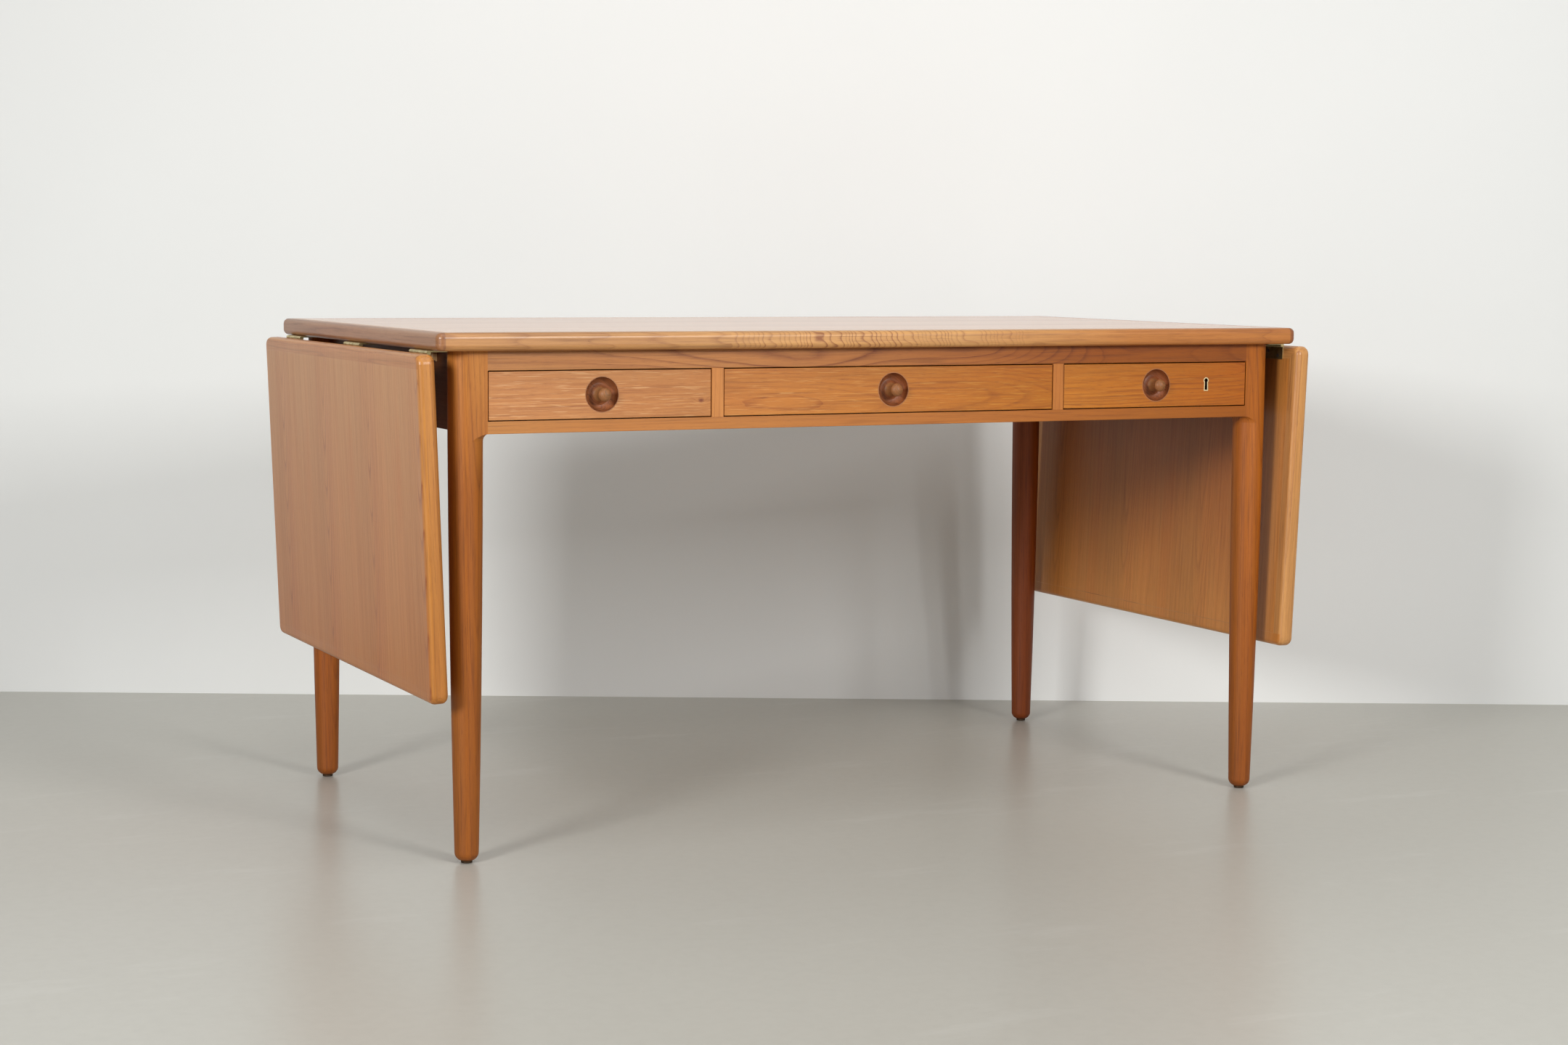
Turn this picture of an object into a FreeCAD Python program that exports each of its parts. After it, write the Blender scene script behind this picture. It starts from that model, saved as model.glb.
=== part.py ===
import FreeCAD, Part
import math
import os

# Drop-leaf writing desk in oak. Millimetres, X to the right, Y to the back, Z up.
# The origin is on the floor under the middle of the desk, and both leaves hang down at rest.

# Top board and leaves
top_length = 1400.0
top_depth = 760.0
top_thickness = 25.0
desk_height = 730.0
edging_width = 20.0
arris_radius = 8.0
top_corner_radius = 10.0
leaf_corner_radius = 13.0
leaf_length = 472.0
leaf_seam = 0.6
leaf_hang_tilt = 2.2

# Under frame: aprons, rails and drawer openings
end_overhang = 30.0
front_overhang = 22.0
apron_height = 113.0
apron_thickness = 20.0
top_rail_height = 27.0
bottom_rail_height = 17.0
rail_depth = 45.0
divider_width = 18.0
middle_opening_share = 543 / 1208
edge_softening = 0.8

# Legs
leg_width = 48.0
waist_height = 190.0
waist_radius = 20.2
foot_radius = 16.8
foot_round = 12.0
shoulder_radius = 10.0
glide_radius = 8.0
glide_height = 3.0
glide_nail_radius = 1.3
glide_nail_length = 16.0

# Joinery
tenon_length = 20.0
side_tenon_length = 16.0
tenon_thickness = 10.0
tenon_shoulder = 6.0
stub_tenon_length = 6.0
joint_fit = 0.1

# Runners, kickers and drawer stops
runner_width = 17.0
stop_block_depth = 12.0
stop_block_height = 16.0
batten_depth = 20.0

# Drawers
drawer_gap = 1.5
drawer_length = 520.0
drawer_front_thickness = 20.0
drawer_side_thickness = 10.0
drawer_back_thickness = 10.0
drawer_bottom_thickness = 5.0
drawer_bottom_lift = 6.0
drawer_side_drop = 3.0
drawer_back_drop = 6.0
groove_depth = 5.0
runner_play = 0.2
tail_count = 3
tail_length = 13.0
tail_root_width = 9.0
tail_tip_width = 13.0

# Turned pulls
pull_radius = 25.4
pull_rim = 1.3
pull_dish_depth = 11.0
pull_back_depth = 15.0
pull_valley_radius = 15.5
pull_neck_radius = 7.0
pull_neck_depth = 3.0
pull_head_radius = 9.5
pull_head_reach = 10.5
pull_reach = 17.5
pull_wall_shares = (1 / 3, 0.72)
pull_hollow_share = 0.25
pull_neck_share = 1 / 3

# Lock of the right drawer
lock_inset = 74.5
key_height = 40.5
key_radius = 3.2
key_slot_drop = 14.5
key_slot_top_width = 3.8
key_slot_bottom_width = 5.0
escutcheon_wall = 1.5
escutcheon_depth = 5.0
escutcheon_proud = 0.3
lock_plate_width = 62.0
lock_plate_drop = 20.0
lock_plate_thickness = 1.5
lock_case_width = 44.0
lock_case_drop = 14.0
lock_case_depth = 10.0
lock_wall = 1.2
lock_post_radius = 1.2
bolt_width = 24.0
bolt_height = 20.0
bolt_thickness = 5.4
bolt_play = 0.25
bolt_inset = 0.5
bolt_mortise_depth = 9.0
strike_length = 44.0
strike_depth = 13.0
strike_thickness = 1.5

# Hinges
hinge_length = 76.0
hinge_end_inset = 36.0
knuckle_radius = 3.0
knuckle_count = 5
hinge_pin_radius = 1.5
hinge_play = 0.3
pin_fit = 0.04
flap_thickness = 2.0
top_flap_width = 27.0
leaf_flap_width = 22.0
flap_corner_radius = 2.0
hinge_screw_spread = 26.0
hinge_screw_edge = 9.0
hinge_screw_length = 13.0

# Leaf bearers
bearer_width = 40.0
bearer_height = 20.0
bearer_spacing = 370.0
bearer_proud = 8.0
bearer_head_width = 52.0
bearer_head_length = 20.0
bearer_tongue_width = 28.0
bearer_play = 0.4
bearer_rest_gap = 0.3
bearer_grip_radius = 3.0
bearer_end_round = 3.0

# Screws
screw_head_radius = 4.0
screw_shank_radius = 2.0
screw_head_height = 2.4
screw_slot_width = 0.8
screw_slot_depth = 1.0
small_head_radius = 2.8
small_shank_radius = 1.4
small_head_height = 1.7
lock_screw_length = 9.0
lock_screw_edge = 4.0
screw_fit = 0.05
screw_grip = 14.0
screw_margin = 60.0
rail_screw_share = 2 / 3

overrun = 5.0
parallel_share = 0.999

# Planes and lines that the pieces share
underside = desk_height - top_thickness
apron_bottom = underside - apron_height
opening_top = underside - top_rail_height
opening_bottom = apron_bottom + bottom_rail_height
half_top = top_length / 2
half_depth = top_depth / 2
frame_end = half_top - end_overhang
frame_front = -half_depth + front_overhang
frame_back = -frame_front
opening_end = frame_end - leg_width
apron_outer_end = opening_end + apron_thickness
middle_half = (opening_end - divider_width) * middle_opening_share
divider_outer = middle_half + divider_width
leg_radius = leg_width / 2
leg_x = frame_end - leg_radius
leg_y = frame_back - leg_radius
leg_inner_y = frame_back - leg_width
rail_back = frame_front + rail_depth
back_inner = frame_back - apron_thickness
front_inner = frame_front + drawer_front_thickness
drawer_back = frame_front + drawer_length
drawer_top = opening_top - drawer_gap
drawer_bottom = opening_bottom + drawer_gap
side_bottom = opening_bottom + runner_play
side_top = drawer_top - drawer_side_drop
panel_bottom = side_bottom + drawer_bottom_lift
panel_top = panel_bottom + drawer_bottom_thickness
pull_z = (drawer_top + drawer_bottom) / 2
pin_x = half_top + leaf_seam / 2
pin_z = underside - knuckle_radius
bearer_top = underside - bearer_rest_gap
bearer_bottom = bearer_top - bearer_height
bearer_slot_bottom = bearer_bottom - bearer_rest_gap
stop_front = drawer_back + bearer_rest_gap
lock_x = opening_end - lock_inset
key_z = opening_bottom + key_height

V = FreeCAD.Vector
X_AXIS = V(1, 0, 0)
Y_AXIS = V(0, 1, 0)
Z_AXIS = V(0, 0, 1)
ORIGIN = V(0, 0, 0)

parts = {}


# Small helpers

def box(x, y, z):
    """A block between two values on each axis, given as pairs."""
    size = [abs(high - low) for low, high in (x, y, z)]
    return Part.makeBox(*size, V(min(x), min(y), min(z)))


def mirrored(shape, axis=X_AXIS):
    return shape.mirror(ORIGIN, axis)


def all_corners(shape):
    """The shape at all four corners of the desk, from the one at the right front."""
    pair = [shape, mirrored(shape)]
    return pair + [mirrored(piece, Y_AXIS) for piece in pair]


def prism(points, low, high):
    """A vertical prism over an outline in plan."""
    face = Part.Face(Part.makePolygon([V(x, y, low) for x, y in points + points[:1]]))
    return face.extrude(V(0, 0, high - low))


def turned(edges, axis=Z_AXIS, place=ORIGIN):
    """A solid turned about a line through place from the edges of half its section."""
    return Part.Face(Part.Wire(edges)).revolve(place, axis, 360)


def line(start, end):
    return Part.LineSegment(start, end).toShape()


def arc(start, middle, end):
    return Part.Arc(start, middle, end).toShape()


def edges_along(shape, axis):
    return [edge for edge in shape.Edges
            if isinstance(edge.Curve, Part.Line)
            and abs(edge.Curve.Direction.dot(axis)) > parallel_share]


def softened(shape, radius=edge_softening):
    """A block with all its sharp edges eased."""
    return shape.makeFillet(radius, shape.Edges)


def grown(box_ranges, margin):
    return [(min(low, high) - margin, max(low, high) + margin) for low, high in box_ranges]


def countersunk_screw(head_radius, shank_radius, head_height, length):
    """A slotted wood screw that points up, with its head's flat face at the origin."""
    head = Part.makeCone(head_radius, shank_radius, head_height)
    shank = Part.makeCylinder(shank_radius, length - head_height - shank_radius, V(0, 0, head_height))
    tip = Part.makeCone(shank_radius, 0, shank_radius, V(0, 0, length - shank_radius))
    slot = box((-head_radius, head_radius), (-screw_slot_width / 2, screw_slot_width / 2),
               (-screw_slot_depth, screw_slot_depth))
    return head.fuse([shank, tip]).cut(slot)


def screw_hole(head_radius, shank_radius, head_height, length):
    """The countersunk hole of such a screw, a little wider all round."""
    mouth = Part.makeCylinder(head_radius + screw_fit, overrun, V(0, 0, -overrun))
    sink = Part.makeCone(head_radius + screw_fit, shank_radius + screw_fit, head_height)
    shank = Part.makeCylinder(shank_radius + screw_fit, length - head_height, V(0, 0, head_height))
    return mouth.fuse([sink, shank])


def placed(shape, x, y, z):
    copy = shape.copy()
    copy.translate(V(x, y, z))
    return copy


# Edged boards

def plan_corners(x, y, margin):
    """The corners of a rectangle in plan, moved out by a margin."""
    return [(x[0] - margin, y[0] - margin), (x[1] + margin, y[0] - margin),
            (x[1] + margin, y[1] + margin), (x[0] - margin, y[1] + margin)]


def edged_board(x, y, z, corner_radius):
    """A veneered core and its four mitred solid edgings, with round corners and arrises."""
    blank = box(x, y, z)
    blank = blank.makeFillet(corner_radius, edges_along(blank, Z_AXIS))
    blank = blank.makeFillet(arris_radius, [edge for edge in blank.Edges
                                            if edge.BoundBox.ZLength < arris_radius])
    inner = plan_corners(x, y, -edging_width)
    outer = plan_corners(x, y, overrun)
    core = prism(inner, z[0], z[1])
    ring = blank.cut(core)
    strips = [ring.common(prism([outer[side - 1], outer[side], inner[side], inner[side - 1]],
                                z[0] - overrun, z[1] + overrun)) for side in range(len(outer))]
    return core, strips


def hung(shape):
    """A piece of the right leaf, drawn with the leaf raised, turned down about the hinge pins."""
    copy = shape.copy()
    copy.rotate(V(pin_x, 0, pin_z), Y_AXIS, 90 + leaf_hang_tilt)
    return copy


# Hinges, drawn at the right end with the leaf raised

hinge_reach = half_depth - hinge_end_inset - hinge_length / 2
hinge_places = (-hinge_reach, 0, hinge_reach)
knuckle_length = hinge_length / knuckle_count


def knuckle_spans(middle, which):
    """The stretches along Y of every second knuckle: which is 0 for the top, 1 for the leaf."""
    start = middle - hinge_length / 2
    return [(start + index * knuckle_length, start + (index + 1) * knuckle_length)
            for index in range(which, knuckle_count, 2)]


def rod(radius, span, x=pin_x, z=pin_z):
    return Part.makeCylinder(radius, span[1] - span[0], V(x, span[0], z), Y_AXIS)


def hinge_flap(middle, which, width):
    """One flap with its knuckles, bored for the pin and cut clear of the other flap's knuckles."""
    side = -1 if which == 0 else 1
    span = (middle - hinge_length / 2, middle + hinge_length / 2)
    flap = box((pin_x, pin_x + side * width), span, (underside - flap_thickness, underside))
    far_edges = [edge for edge in edges_along(flap, Z_AXIS)
                 if abs(edge.CenterOfMass.x - pin_x) > width / 2]
    flap = flap.makeFillet(flap_corner_radius, far_edges)
    own = [rod(knuckle_radius, (low + hinge_play / 2, high - hinge_play / 2))
           for low, high in knuckle_spans(middle, which)]
    other = [rod(knuckle_radius + hinge_play, (low - hinge_play / 2, high + hinge_play / 2))
             for low, high in knuckle_spans(middle, 1 - which)]
    flap = flap.cut(other).fuse(own).removeSplitter()
    bore = rod(hinge_pin_radius + pin_fit, grown([span], overrun)[0])
    holes = [placed(hole, x, y, underside - flap_thickness)
             for hole in [screw_hole(*small_screw)] for x, y in hinge_screw_places(middle, which, width)]
    return flap.cut([bore] + holes)


small_screw = (small_head_radius, small_shank_radius, small_head_height, hinge_screw_length)


def hinge_screw_places(middle, which, width):
    """Three screws, the middle one set back from the line of the outer two."""
    side = -1 if which == 0 else 1
    near = pin_x + side * hinge_screw_edge
    far = pin_x + side * (width - hinge_screw_edge / 2 - small_head_radius / 2)
    return [(far, middle - hinge_screw_spread), (near, middle), (far, middle + hinge_screw_spread)]


def hinge_set(which, width):
    """The flaps, the screws and the screws' holes of one leaf's hinges."""
    flaps = [hinge_flap(middle, which, width) for middle in hinge_places]
    places = [place for middle in hinge_places for place in hinge_screw_places(middle, which, width)]
    level = underside - flap_thickness
    screws = [placed(countersunk_screw(*small_screw), x, y, level) for x, y in places]
    holes = [placed(screw_hole(*small_screw), x, y, level) for x, y in places]
    return flaps, screws, holes


top_flaps, top_hinge_screws, top_hinge_holes = hinge_set(0, top_flap_width)
leaf_flaps, leaf_hinge_screws, leaf_hinge_holes = hinge_set(1, leaf_flap_width)
hinge_pins = [rod(hinge_pin_radius, (middle - hinge_length / 2, middle + hinge_length / 2))
              for middle in hinge_places]


# Top board, its fixing screws and the holes in the board

screw_size = (screw_head_radius, screw_shank_radius, screw_head_height, top_rail_height + screw_grip)
side_strip_x = (opening_end - runner_width, opening_end)
inner_strip_x = (divider_outer, divider_outer + runner_width)
middle_strip_x = (middle_half - runner_width, middle_half)
kicker_x = [sum(strip) / 2 for strip in (side_strip_x, inner_strip_x, middle_strip_x)]
screw_rows_y = (-half_depth / 2 - screw_margin, 0, half_depth / 2 + screw_margin)
rail_screws = [(x, frame_front + rail_depth * rail_screw_share)
               for x in (-divider_outer - screw_margin, 0, divider_outer + screw_margin)]
kicker_screws = [(side * x, y) for side in (-1, 1) for x in kicker_x for y in screw_rows_y]
batten_screws = [(x, back_inner - batten_depth / 2) for x in (-middle_half / 2, 0, middle_half / 2)]
top_screw_places = rail_screws + kicker_screws + batten_screws
top_screw_holes = [placed(screw_hole(*screw_size), x, y, opening_top) for x, y in top_screw_places]
parts["top_screws"] = [placed(countersunk_screw(*screw_size), x, y, opening_top)
                       for x, y in top_screw_places]

core, strips = edged_board((-half_top, half_top), (-half_depth, half_depth),
                           (underside, desk_height), top_corner_radius)
end_holes = top_hinge_holes + [mirrored(hole) for hole in top_hinge_holes]
parts["top_panel"] = core.cut(top_screw_holes + end_holes)
parts["top_edging"] = [strip.cut(end_holes) for strip in strips]


# Leaves with their hinges

raised_core, raised_strips = edged_board((half_top + leaf_seam, half_top + leaf_seam + leaf_length),
                                         (-half_depth, half_depth), (underside, desk_height),
                                         leaf_corner_radius)
right_leaf = {
    "leaf_panel": hung(raised_core.cut(leaf_hinge_holes)),
    "leaf_edging": [hung(strip.cut(leaf_hinge_holes)) for strip in raised_strips],
    "leaf_hinge_flaps": [hung(flap) for flap in leaf_flaps],
    "leaf_hinge_screws": [hung(screw) for screw in leaf_hinge_screws],
}
for name, shape in right_leaf.items():
    pieces = shape if isinstance(shape, list) else [shape]
    parts[name + "_right"] = pieces
    parts[name + "_left"] = [mirrored(piece) for piece in pieces]

parts["top_hinge_flaps"] = top_flaps + [mirrored(flap) for flap in top_flaps]
parts["top_hinge_screws"] = top_hinge_screws + [mirrored(screw) for screw in top_hinge_screws]
parts["hinge_pins"] = hinge_pins + [mirrored(pin) for pin in hinge_pins]


# Frame joinery: each tenon is drawn once, and its mortise is the same block a little larger

tenon_y = (frame_front + (leg_width - tenon_thickness) / 2,
           frame_front + (leg_width + tenon_thickness) / 2)
rail_tenon_x = (opening_end, opening_end + tenon_length)
top_rail_tenon = (rail_tenon_x, tenon_y, (opening_top + tenon_shoulder, underside - tenon_shoulder))
bottom_rail_tenon = (rail_tenon_x, tenon_y, (apron_bottom + tenon_shoulder / 2,
                                             opening_bottom - tenon_shoulder / 2))
apron_tenon_z = (apron_bottom + tenon_shoulder, underside - tenon_shoulder)
end_tenon_x = (opening_end + (apron_thickness - tenon_thickness) / 2,
               opening_end + (apron_thickness + tenon_thickness) / 2)
end_tenon = (end_tenon_x, (-leg_inner_y, -leg_inner_y - side_tenon_length), apron_tenon_z)
back_tenon_y = (frame_back - (apron_thickness + tenon_thickness) / 2,
                frame_back - (apron_thickness - tenon_thickness) / 2)
back_tenon = (rail_tenon_x, back_tenon_y, apron_tenon_z)


def both_ends(ranges):
    """A block at the right end and its mirror image at the left end."""
    right = box(*ranges)
    return [right, mirrored(right)]


# Legs, drawn at the right front about their own centre line

def leg_round():
    """The turned leg: a rounded foot, a swelling taper and a straight top."""
    bottom = glide_height
    bend = foot_round * (1 - math.sqrt(0.5))
    foot = [line(V(0, 0, bottom), V(foot_radius - foot_round, 0, bottom)),
            arc(V(foot_radius - foot_round, 0, bottom), V(foot_radius - bend, 0, bottom + bend),
                V(foot_radius, 0, bottom + foot_round))]
    shoulder = apron_bottom - shoulder_radius
    shaft = [arc(V(foot_radius, 0, bottom + foot_round), V(waist_radius, 0, waist_height),
                 V(leg_radius, 0, shoulder)),
             line(V(leg_radius, 0, shoulder), V(leg_radius, 0, underside))]
    close = [line(V(leg_radius, 0, underside), V(0, 0, underside)),
             line(V(0, 0, underside), V(0, 0, bottom))]
    return turned(foot + shaft + close)


def leg_block():
    """The head, square towards the frame and round outside, ending below in a turned hollow."""
    half = leg_radius
    low = apron_bottom - shoulder_radius
    outline = [arc(V(0, -half, low), V(half, 0, low), V(0, half, low)),
               line(V(0, half, low), V(-half, half, low)),
               line(V(-half, half, low), V(-half, -half, low)),
               line(V(-half, -half, low), V(0, -half, low))]
    block = Part.Face(Part.Wire(outline)).extrude(V(0, 0, underside - low))
    hollow = shoulder_radius * (1 - math.sqrt(0.5))
    edge = half + shoulder_radius
    limit = turned([line(V(0, 0, low), V(half, 0, low)),
                    arc(V(half, 0, low), V(half + hollow, 0, apron_bottom - hollow),
                        V(edge, 0, apron_bottom)),
                    line(V(edge, 0, apron_bottom), V(edge + leg_width, 0, apron_bottom)),
                    line(V(edge + leg_width, 0, apron_bottom), V(edge + leg_width, 0, underside)),
                    line(V(edge + leg_width, 0, underside), V(0, 0, underside)),
                    line(V(0, 0, underside), V(0, 0, low))])
    return block.common(limit)


def leg(front):
    """A right-hand leg with its mortises and the hole of its glide's nail."""
    blank = placed(leg_round().fuse(leg_block()).removeSplitter(), leg_x, -leg_y, 0)
    nail = Part.makeCylinder(glide_nail_radius + screw_fit, glide_nail_length + glide_height,
                             V(leg_x, -leg_y, 0))
    if front:
        tenons = [end_tenon, top_rail_tenon, bottom_rail_tenon]
        return blank.cut([nail] + [box(*grown(tenon, joint_fit)) for tenon in tenons])
    mortises = [box(*grown(end_tenon, joint_fit)), mirrored(box(*grown(back_tenon, joint_fit)), Y_AXIS)]
    return mirrored(blank.cut([nail] + mortises), Y_AXIS)


front_leg = leg(True)
rear_leg = leg(False)
parts["leg_front_right"] = front_leg
parts["leg_front_left"] = mirrored(front_leg)
parts["leg_rear_right"] = rear_leg
parts["leg_rear_left"] = mirrored(rear_leg)


def glide():
    """A domed metal glide with its nail, standing on the floor."""
    ease = glide_height / 3
    disc = Part.makeCylinder(glide_radius, glide_height, V(leg_x, -leg_y, 0))
    disc = disc.makeFillet(ease, [edge for edge in disc.Edges if edge.BoundBox.ZMax < ease])
    nail = Part.makeCylinder(glide_nail_radius, glide_nail_length, V(leg_x, -leg_y, glide_height / 2))
    return disc.fuse(nail).removeSplitter()


parts["leg_glides"] = all_corners(glide())


# Rails, dividers and aprons

def front_rail(low, high, tenon):
    body = softened(box((-opening_end, opening_end), (frame_front, rail_back), (low, high)))
    ends = [box((opening_end - edge_softening * 2, opening_end), (frame_front, rail_back), (low, high))]
    ends.append(mirrored(ends[0]))
    return body.fuse(ends + both_ends(tenon)).removeSplitter()


def divider_tenon(side, low, high):
    middle = side * (middle_half + divider_width / 2)
    inset = tenon_shoulder
    return ((middle - divider_width / 4, middle + divider_width / 4),
            (frame_front + inset * 2, rail_back - inset), (low, high))


def divider(side):
    middle = side * (middle_half + divider_width / 2)
    post = box((middle - divider_width / 2, middle + divider_width / 2), (frame_front, rail_back),
               (opening_bottom, opening_top))
    tenon = box(*divider_tenon(side, opening_bottom - stub_tenon_length, opening_top + stub_tenon_length))
    return post.fuse(tenon).removeSplitter()


divider_mortises = [box(*grown(divider_tenon(side, opening_bottom - stub_tenon_length,
                                             opening_top + stub_tenon_length), joint_fit))
                    for side in (-1, 1)]
bolt_y = front_inner - lock_case_depth / 2 + (lock_plate_thickness - lock_wall) / 2
strike_ranges = ((lock_x - strike_length / 2, lock_x + strike_length / 2),
                 (bolt_y - strike_depth / 2, bolt_y + strike_depth / 2),
                 (opening_top, opening_top + strike_thickness))
bolt_pocket = box((lock_x - bolt_width / 2 - bolt_play, lock_x + bolt_width / 2 + bolt_play),
                  (bolt_y - bolt_thickness / 2 - bolt_play, bolt_y + bolt_thickness / 2 + bolt_play),
                  (opening_top - overrun, opening_top + bolt_mortise_depth))
strike_seat = box(*grown(strike_ranges[:2], joint_fit), (opening_top - overrun, strike_ranges[2][1]))

rail = front_rail(opening_top, underside, top_rail_tenon)
parts["front_top_rail"] = rail.cut(divider_mortises + [strike_seat, bolt_pocket] + top_screw_holes)
parts["lock_strike"] = box(*strike_ranges).cut(bolt_pocket)
rail = front_rail(apron_bottom, opening_bottom, bottom_rail_tenon)
parts["front_bottom_rail"] = rail.cut(divider_mortises)
parts["drawer_divider_left"] = divider(-1)
parts["drawer_divider_right"] = divider(1)

bearer_places = (-bearer_spacing / 2, bearer_spacing / 2)


def bearer_slot(y, width, x):
    """The open-topped notch that a bearer runs in."""
    half = width / 2 + bearer_play
    return box(x, (y - half, y + half), (bearer_slot_bottom, underside + overrun))


slot_x = (opening_end - runner_width - overrun, apron_outer_end + overrun)
bearer_slots = [bearer_slot(y, bearer_width, slot_x) for y in bearer_places]

end_board = box((opening_end, apron_outer_end), (-leg_inner_y, leg_inner_y), (apron_bottom, underside))
end_tenons = [box(*end_tenon), mirrored(box(*end_tenon), Y_AXIS)]
end_apron = end_board.fuse(end_tenons).removeSplitter().cut(bearer_slots)
parts["end_apron_right"] = end_apron
parts["end_apron_left"] = mirrored(end_apron)

back_board = box((-opening_end, opening_end), (back_inner, frame_back), (apron_bottom, underside))
parts["back_apron"] = back_board.fuse(both_ends(back_tenon)).removeSplitter()
batten = box((runner_width - middle_half, middle_half - runner_width),
             (back_inner - batten_depth, back_inner), (opening_top, underside))
parts["back_batten"] = batten.cut(top_screw_holes)

partition = box((middle_half, divider_outer), (rail_back, back_inner), (apron_bottom, underside))
parts["inner_partition_right"] = partition
parts["inner_partition_left"] = mirrored(partition)


# Runners under the drawers, kickers above them and the stops behind them

def both_sides(pieces):
    return pieces + [mirrored(piece) for piece in pieces]


strip_y = (rail_back, back_inner)
runner_z = (apron_bottom, opening_bottom)
kicker_z = (opening_top, underside)

parts["drawer_runners"] = both_sides([box(strip, strip_y, runner_z)
                                      for strip in (side_strip_x, inner_strip_x, middle_strip_x)])

tongue_slots = [bearer_slot(y, bearer_tongue_width, grown([inner_strip_x], overrun)[0])
                for y in bearer_places]
kickers = [box(side_strip_x, strip_y, kicker_z).cut(bearer_slots + top_screw_holes),
           box(inner_strip_x, strip_y, kicker_z).cut(tongue_slots + top_screw_holes),
           box(middle_strip_x, strip_y, kicker_z).cut(top_screw_holes)]
parts["drawer_kickers"] = both_sides(kickers)

stop_span = (stop_front, stop_front + stop_block_depth)
stop_z = (opening_bottom, opening_bottom + stop_block_height)
parts["drawer_stops"] = both_sides([box(strip, stop_span, stop_z)
                                    for strip in (side_strip_x, inner_strip_x, middle_strip_x)])


# Leaf bearers, drawn at the right end

def bearer(y):
    """A slide with a shouldered head, a tongue behind it and a finger groove at its outer end."""
    head_back = divider_outer + runner_width + bearer_play
    head_front = head_back + bearer_head_length
    body_front = apron_outer_end + bearer_proud
    body = box((head_back, body_front), (y - bearer_width / 2, y + bearer_width / 2),
               (bearer_bottom, bearer_top))
    tip = [edge for edge in body.Edges if edge.CenterOfMass.x > body_front - joint_fit]
    body = body.makeFillet(bearer_end_round, tip)
    half_head = bearer_head_width / 2
    head = box((head_back, head_front), (y - half_head, y + half_head), (bearer_bottom, bearer_top))
    half_tongue = bearer_tongue_width / 2
    tongue = box((divider_outer + bearer_play, head_back), (y - half_tongue, y + half_tongue),
                 (bearer_bottom, bearer_top))
    groove = Part.makeCylinder(bearer_grip_radius, bearer_width + overrun * 2,
                               V(body_front - bearer_proud / 2, y - bearer_width / 2 - overrun,
                                 bearer_bottom - bearer_grip_radius / 3), Y_AXIS)
    return body.fuse([head, tongue]).removeSplitter().cut(groove)


for place, y in zip(("front", "rear"), bearer_places):
    slide = bearer(y)
    parts["bearer_right_" + place] = slide
    parts["bearer_left_" + place] = mirrored(slide)


# Drawers

def pull(x):
    """A turned dish with a knob on a neck in its middle, one piece, let into the drawer front."""
    def at(radius, depth):
        return V(x + radius, frame_front + depth, pull_z)

    rim = pull_radius - pull_rim
    wall = rim + (pull_valley_radius - rim) * pull_wall_shares[0]
    hollow = (pull_valley_radius + pull_neck_radius) / 2
    hollow_depth = pull_dish_depth + (pull_neck_depth - pull_dish_depth) * pull_hollow_share
    dome = pull_reach - pull_head_reach
    dome_radius = (pull_head_radius ** 2 + dome ** 2) / (dome * 2)
    dome_reach = pull_reach - dome_radius + math.sqrt(dome_radius ** 2 - (pull_head_radius / 2) ** 2)
    section = [
        line(at(0, pull_back_depth), at(pull_radius, pull_back_depth)),
        line(at(pull_radius, pull_back_depth), at(pull_radius, 0)),
        line(at(pull_radius, 0), at(rim, 0)),
        arc(at(rim, 0), at(wall, pull_dish_depth * pull_wall_shares[1]),
            at(pull_valley_radius, pull_dish_depth)),
        arc(at(pull_valley_radius, pull_dish_depth), at(hollow, hollow_depth),
            at(pull_neck_radius, pull_neck_depth)),
        arc(at(pull_neck_radius, pull_neck_depth),
            at(pull_neck_radius, -pull_head_reach * pull_neck_share),
            at(pull_head_radius, -pull_head_reach)),
        arc(at(pull_head_radius, -pull_head_reach), at(pull_head_radius / 2, -dome_reach),
            at(0, -pull_reach)),
        line(at(0, -pull_reach), at(0, pull_back_depth)),
    ]
    return turned(section, Y_AXIS, V(x, 0, pull_z))


def tails(x, margin=0):
    """The dovetails of a drawer side, which reach into the back of the drawer front."""
    pitch = (side_top - panel_top) / tail_count
    shapes = []
    for index in range(tail_count):
        middle = panel_top + pitch * (index + 0.5)
        root = tail_root_width / 2 + margin
        tip = tail_tip_width / 2 + margin
        end = front_inner - tail_length - margin
        outline = [V(x[0], front_inner, middle - root), V(x[0], end, middle - tip),
                   V(x[0], end, middle + tip), V(x[0], front_inner, middle + root)]
        face = Part.Face(Part.makePolygon(outline + outline[:1]))
        shapes.append(face.extrude(V(x[1] - x[0], 0, 0)))
    return shapes


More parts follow.
